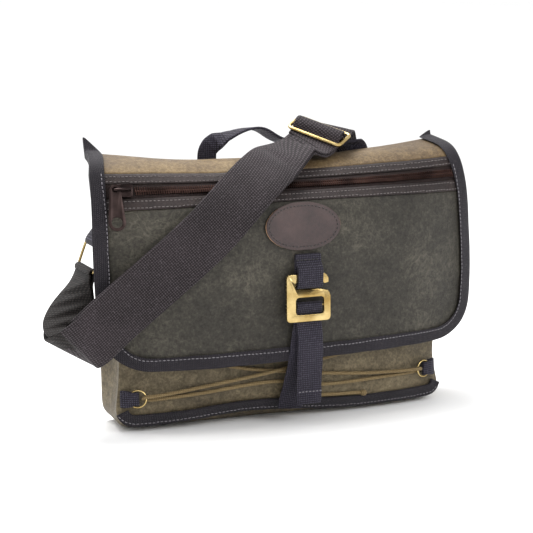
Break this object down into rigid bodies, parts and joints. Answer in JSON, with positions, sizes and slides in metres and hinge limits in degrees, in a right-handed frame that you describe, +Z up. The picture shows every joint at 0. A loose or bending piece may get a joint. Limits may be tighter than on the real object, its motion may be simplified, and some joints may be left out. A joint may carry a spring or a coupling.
{
  "type": "messenger bag",
  "caption": "Closed waxed canvas messenger bag with a zipped front flap, hook closure, laced front, carry handle and a wide shoulder strap lying across it.",
  "frame": {"origin": "middle of the flat underside", "axes": "+X to the viewer's right along the bag's length, -Y out of the front, +Z up"},
  "size_m": [0.4446, 0.1416, 0.2853],
  "materials": {
    "flap_canvas": "dark olive waxed canvas, slightly mottled",
    "body_canvas": "olive waxed canvas",
    "binding_tape": "dark twill tape",
    "band_cloth": "brown stitched cloth",
    "zip_metal": "dark antique brass",
    "leather": "brown leather, slightly worn",
    "dark_webbing": "dark cotton webbing",
    "strap_webbing": "dark brown ribbed webbing",
    "brass": "bright brass",
    "cord": "tan braided cord"
  },
  "bodies": {
    "bag": {"front_panel": "body_canvas", "back_panel": "body_canvas", "gusset": "body_canvas", "flap_lining": "flap_canvas", "flap_upper_panel": "flap_canvas", "flap_front_panel": "flap_canvas", "flap_binding": "binding_tape", "body_binding": "binding_tape", "zip_band_upper": "band_cloth", "zip_band_lower": "band_cloth", "zip_tape": "band_cloth", "zip_chain": "zip_metal", "zip_slider": "zip_metal", "leather_patch": "leather", "closure_loop": "dark_webbing", "closure_strap": "dark_webbing", "carry_handle": "dark_webbing", "lace_tab_left_low": "dark_webbing", "lace_tab_right_low": "dark_webbing", "lace_tab_left_high": "dark_webbing", "lace_tab_right_high": "dark_webbing", "ring_tab_left": "strap_webbing", "ring_tab_right": "strap_webbing", "shoulder_strap": "strap_webbing", "hook_buckle": "brass", "strap_slide": "brass", "strap_ring_left": "brass", "strap_ring_right": "brass", "lace_ring_left_low": "brass", "lace_ring_right_low": "brass", "lace_ring_left_high": "brass", "lace_ring_right_high": "brass", "lace_cord": "cord", "bottom_cord": "cord"},
    "pull": {"zip_pull": "zip_metal"}
  },
  "joints": [
    {"name": "pull_swing", "type": "hinge", "parent": "bag", "child": "pull", "pos_m": [-0.17215, -0.03859, 0.22888], "axis": [-0.1475, -0.9341, 0.3251], "range_deg": [-30, 40]}
  ]
}
